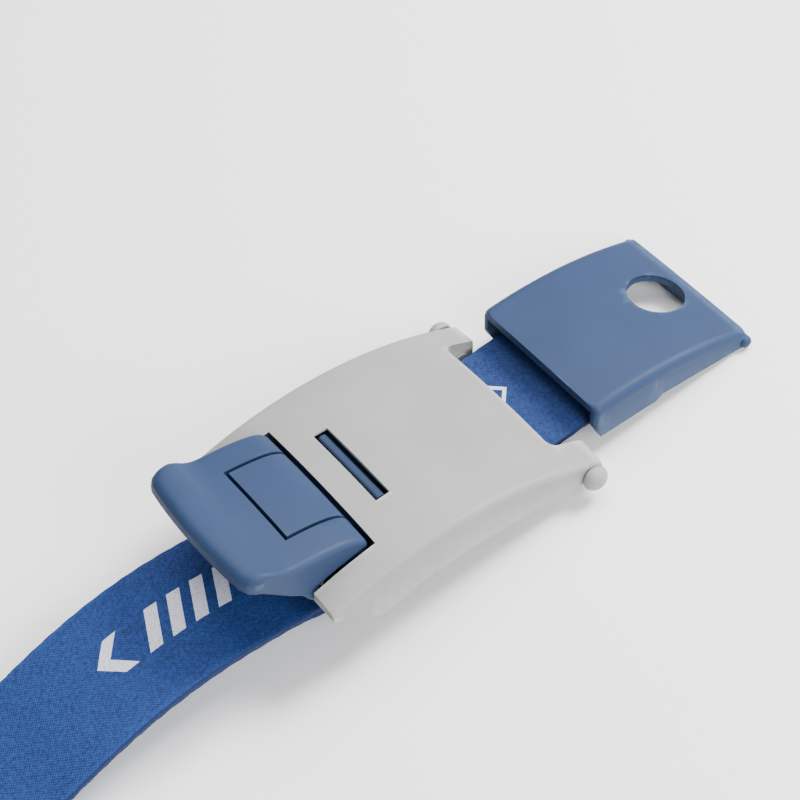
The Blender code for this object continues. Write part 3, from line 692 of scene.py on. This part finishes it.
def tab():
    """Arched plate with side walls, rounded corners, a finger hole and a rolled far edge."""
    corner = [TAB_NEAR + TAB_CORNER * k for k in (0.1, 0.3, 0.6, 1.0)]
    xs = sorted(set([TAB_NEAR] + corner + stations(TAB_NEAR + 2.2, TAB_FAR, 1.1) + [x for x, _ in TAB_FLOOR]))
    rings = []
    for x in xs:
        half_width = TAB_HALF_WIDTH - circle_sag(TAB_CORNER, max(0.0, TAB_NEAR + TAB_CORNER - x))
        rings.append(roofed_ring(x, half_width, tab_z, between(x, TAB_FLOOR), TAB_SHOULDER))
    shell = loft("tab", rings, BLUE)
    inner = TAB_HALF_WIDTH - TAB_WALL
    end = TAB_FAR - TAB_WALL
    cavity = [(end, -15.0), (30.0, -15.0)]
    roof = (30.0, 36.0, 40.0, 44.0, 48.0, 52.0, 56.0, 60.0, 64.0, 67.0, end)
    cavity += [(x, tab_z(x, 0.0) - TAB_SKIN) for x in roof]
    combine(shell, [prism("tool", cavity, -inner, inner)])
    combine(shell, [tab_bead()], "UNION")
    hole_x, hole_radius = TAB_HOLE
    circle = round_outline(hole_x, 0.0, hole_radius, hole_radius, 64)
    drill = loft("tool", [[(px, py, z) for px, py in circle] for z in (-20.0, 10.0)])
    rod_x, rod_z = tab_rod_centre()
    combine(shell, [drill, rod_tool(rod_x, rod_z, TAB_ROD_RADIUS + 0.1, -14.4, 14.4)])
    round_edges(shell, 0.5)
    return shell


def tab_rod_centre():
    drop = STRAP_THICKNESS + 0.1 + TAB_ROD_RADIUS
    return TAB_ROD_X + math.sin(FEED_SLOPE) * drop, feed_z(TAB_ROD_X) - drop * math.cos(FEED_SLOPE)


# --- webbing --------------------------------------------------------------------------------

FINE_STEP = 1.0


def to_table(x, z):
    """Buckle-frame millimetres to table-frame millimetres."""
    point = TO_TABLE @ (Vector((x, 0.0, z)) * MM)
    return point.x / MM, point.z / MM


def walk(point, heading, pieces):
    """Points along a chain of arcs. Each piece is (length, turn); headings grow anticlockwise from +X."""
    path = [(point[0], point[1], heading)]
    for length, turn in pieces:
        count = max(1, math.ceil(length / FINE_STEP), math.ceil(abs(turn) / math.radians(5.0)))
        for _ in range(count):
            x, z, heading = path[-1]
            middle = heading + turn / count / 2.0
            step = length / count
            path.append((x + step * math.cos(middle), z + step * math.sin(middle), heading + turn / count))
    return path


def upper_path():
    """From beside the clamp jaw, over the hump and down to the flat run on the table."""
    start = to_table(-6.0, feed_z(-6.0) - STRAP_THICKNESS / 2.0)
    slopes = [(3.1, 0.0), (4.1, -9.3), (13.0, 0.0), (4.0, 3.0), (10.2, 9.5), (10.5, 9.5), (11.5, 6.0)]
    pieces = [(length, math.radians(turn)) for length, turn in slopes]
    path = walk(start, math.pi + FEED_SLOPE - TILT, pieces)
    x, z, heading = path[-1]
    fall = heading - math.pi
    resting = STRAP_THICKNESS * 1.5 + LAYER_GAP
    radius = (z - resting) / (1.0 - math.cos(fall))
    return path + walk((x, z), heading, [(radius * fall, -fall)])[1:]


def fold_path(start):
    x, z, heading = start
    rise_radius = FOLD_RISE_LENGTH / FOLD_RISE_ANGLE
    rise = rise_radius * (1.0 - math.cos(FOLD_RISE_ANGLE))
    radius = (z + rise - STRAP_THICKNESS / 2.0) / (1.0 + math.cos(FOLD_RISE_ANGLE))
    around = math.pi + FOLD_RISE_ANGLE
    pieces = [(FLAT_RUN, 0.0), (FOLD_RISE_LENGTH, -FOLD_RISE_ANGLE), (radius * around, around), (12.0, 0.0)]
    return walk((x, z), heading, pieces)


def lower_path(upper):
    """Under the upper layer from the table to the housing, then under the base plate."""
    path = []
    for x, z, heading in reversed(upper):
        spread = min(1.0, max(0.0, (x - to_table(LAYERS_PART_X, -13.0)[0]) / 12.0))
        depth = STRAP_THICKNESS + LAYER_GAP + 1.9 * spread * spread * (3.0 - 2.0 * spread)
        back = heading - math.pi
        path.append((x + math.sin(heading) * depth, z - math.cos(back) * depth, back))
    x, z, _ = path[-1]
    return path + walk((x, z), FEED_SLOPE - TILT, [(26.0, 0.0)])[1:]


def anchor_path(start):
    """On to the cross bar, round it, and back over itself to the seam."""
    x, z, heading = start
    bar = to_table(BAR[0], BAR[1])
    radius = BAR[2] + 0.1 + STRAP_THICKNESS / 2.0
    under = (bar[0] + radius * math.sin(heading), bar[1] - radius * math.cos(heading))
    length = math.hypot(under[0] - x, under[1] - z)
    slope = math.atan2(under[1] - z, under[0] - x)
    path = walk((x, z), slope, [(length, 0.0)])
    tail = math.radians(6.5)
    turns = [(radius * (math.pi + tail), math.pi + tail), (7.0, 0.0), (1.5, -tail), (3.0, 0.0)]
    return path + walk((path[-1][0], path[-1][1]), heading, turns)[1:]


def loop_stations():
    """The whole loop as (x, z, heading, sideways shift), from the clamp jaw round to the seam."""
    upper = upper_path()
    fold = fold_path(upper[-1])
    lower = [point for point in lower_path(upper) if point[0] > fold[-1][0] + 1.0]
    stops = [(*point, UPPER_LAYER_SHIFT) for point in upper[:-1]]
    for i, point in enumerate(fold):
        drift = i / (len(fold) - 1)
        stops.append((*point, UPPER_LAYER_SHIFT + (LOWER_LAYER_SHIFT - UPPER_LAYER_SHIFT) * drift))
    stops += [(*point, LOWER_LAYER_SHIFT) for point in lower]
    return stops + [(*point, LOWER_LAYER_SHIFT) for point in anchor_path(lower[-1])[1:]]


def band_section():
    """Top half of the webbing's rounded section as (across, height), from selvage to selvage."""
    half = STRAP_WIDTH / 2.0
    thick = STRAP_THICKNESS / 2.0
    edge = [(half - thick * 0.8 * (1.0 - math.cos(math.radians(a))), thick * math.sin(math.radians(a)))
            for a in (0.0, 25.0, 50.0, 75.0, 90.0)]
    flats = [(half * k / 8.0, thick) for k in range(7, -8, -1)]
    mirrored = [(-across, height) for across, height in reversed(edge)]
    return edge + flats[0:15] + mirrored


def band(name, stops, look):
    """Webbing swept along stops in table-frame millimetres, with its length and width as UVs."""
    top = band_section()
    ring_shape = top + [(across, -height) for across, height in reversed(top[1:-1])]
    count = len(ring_shape)
    work = bmesh.new()
    uv = work.loops.layers.uv.new("webbing")
    lengths = [0.0]
    for (x0, z0, *_), (x1, z1, *_) in zip(stops, stops[1:]):
        lengths.append(lengths[-1] + math.hypot(x1 - x0, z1 - z0))
    places = {}
    rings = []
    for (x, z, heading, shift), length in zip(stops, lengths):
        ring = []
        for across, height in ring_shape:
            waver = 0.06 * math.sin(length * 0.9 + across) + 0.04 * math.sin(length * 2.3)
            edge = 1.0 + 0.004 * math.sin(length * 1.7)
            lift = height + (waver * 0.5 if height >= 0.0 else 0.0)
            point = (x - math.sin(heading) * lift, across * edge + shift, z + math.cos(heading) * lift)
            vertex = work.verts.new([value * MM for value in point])
            places[vertex] = (length, across)
            ring.append(vertex)
        rings.append(ring)
    for near, far in zip(rings, rings[1:]):
        for i in range(count):
            j = (i + 1) % count
            work.faces.new((near[i], near[j], far[j], far[i]))
    work.faces.new(rings[0])
    work.faces.new(rings[-1])
    for face in work.faces:
        for loop in face.loops:
            loop[uv].uv = places[loop.vert]
    bmesh.ops.recalc_face_normals(work, faces=work.faces)
    mesh = bpy.data.meshes.new(name)
    work.to_mesh(mesh)
    work.free()
    mesh.materials.append(look)
    made = bpy.data.objects.new(name, mesh)
    bpy.context.scene.collection.objects.link(made)
    smooth(made, 60.0)
    return made


def feed_stations():
    """The straight run to the pull tab, round its rod and back under itself."""
    start = to_table(-5.2, feed_z(-5.2) - STRAP_THICKNESS / 2.0)
    length = (TAB_ROD_X + 5.2) / math.cos(FEED_SLOPE)
    radius = TAB_ROD_RADIUS + 0.1 + STRAP_THICKNESS / 2.0
    path = walk(start, FEED_SLOPE - TILT, [(length, 0.0), (radius * math.pi, -math.pi), (5.5, 0.0)])
    return [(*point, 0.0) for point in path]


def stitch_row(name, x, z, heading, y_from, y_to, shift, look):
    """A row of raised stitches across the webbing."""
    work = bmesh.new()
    for i, y in enumerate(stations(y_from, y_to, 1.5)):
        slant = 0.35 if i % 2 else -0.35
        spot = Matrix.Translation(Vector((x, y + shift, z)) * MM)
        turn = Matrix.Rotation(-heading, 4, "Y") @ Matrix.Rotation(slant, 4, "Z")
        size = Matrix.Diagonal((0.30, 0.85, 0.22, 1.0))
        place = spot @ turn @ size
        bmesh.ops.create_uvsphere(work, u_segments=10, v_segments=6, radius=0.8 * MM, matrix=place)
    mesh = bpy.data.meshes.new(name)
    work.to_mesh(mesh)
    work.free()
    mesh.shade_smooth()
    mesh.materials.append(look)
    made = bpy.data.objects.new(name, mesh)
    bpy.context.scene.collection.objects.link(made)
    return made


# --- assembly -------------------------------------------------------------------------------

def dress(piece, body, material_slot, *nodes):
    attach(piece, body)
    if nodes:
        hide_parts(*nodes)


dress(housing(), "buckle", "housing_grey", "housing_shell")
dress(cross_bar(), "buckle", "housing_grey", "cross_bar")
dress(lever(), "lever", "lever_blue", "clamp_lever")
dress(button(), "button", "lever_blue", "release_button")
dress(tab(), "tab", "lever_blue", "tab_shell")

LOOP = loop_stations()
dress(band("webbing_loop", LOOP, WEBBING), "buckle", "webbing_blue",
      "strap_upper", "strap_fold", "strap_lower", "strap_anchor")

feed_band = band("webbing_feed_shaded", feed_stations(), FEED_WEBBING_SHADED)
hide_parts("strap_feed", "strap_tab_end")
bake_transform(feed_band)

for row, back in enumerate((1.5, 5.0)):
    index = len(LOOP) - 1 - round(back / FINE_STEP)
    x, z, heading, shift = LOOP[index]
    top = STRAP_THICKNESS / 2.0 + 0.02
    stitches = stitch_row("seam_stitches_%d" % (row + 1), x + math.sin(heading) * top,
                          z - math.cos(heading) * top, heading, -11.0, 11.0, shift, THREAD)
    dress(stitches, "buckle", "webbing_blue")

# partly painted shade: the base plate, axle and springs get the dark steel
DARK_NODES = ("base_plate", "lever_axle", "lever_spring_front", "lever_spring_rear", "button_spring")
for look, names in ((STEEL, ("clamp_jaw", "tab_rod")), (SPRING_STEEL_AND_SHADE, DARK_NODES)):
    for name in names:
        mesh = NODES[name].data
        mesh.materials.clear()
        mesh.materials.append(look)


# --- floor and light ------------------------------------------------------------------------

def floor():
    work = bmesh.new()
    bmesh.ops.create_grid(work, x_segments=1, y_segments=1, size=2.0)
    mesh = bpy.data.meshes.new("floor")
    work.to_mesh(mesh)
    work.free()
    graph = Graph("floor", (0.93, 0.93, 0.93), 0.9)
    mesh.materials.append(graph.material)
    made = bpy.data.objects.new("floor", mesh)
    made.location = (0.0, 0.0, -0.0002)
    bpy.context.scene.collection.objects.link(made)


def light(name, place, size, power, aim=(0.02, 0.0, 0.01)):
    data = bpy.data.lights.new(name, "AREA")
    data.shape = "DISK"
    data.size = size
    data.energy = power
    made = bpy.data.objects.new(name, data)
    made.location = place
    made.rotation_euler = (Vector(aim) - Vector(place)).to_track_quat("-Z", "Y").to_euler()
    bpy.context.scene.collection.objects.link(made)


floor()
light("key", (0.50, -0.06, 0.45), 0.25, 8.6)
light("front", (0.10, -0.65, 0.45), 0.45, 7.4)
light("top", (0.30, 0.30, 0.85), 0.7, 8.0)

world = bpy.data.worlds.new("studio")
world.use_nodes = True
world.node_tree.nodes["Background"].inputs["Color"].default_value = (1.0, 1.0, 1.0, 1.0)
world.node_tree.nodes["Background"].inputs["Strength"].default_value = 0.42
bpy.context.scene.world = world
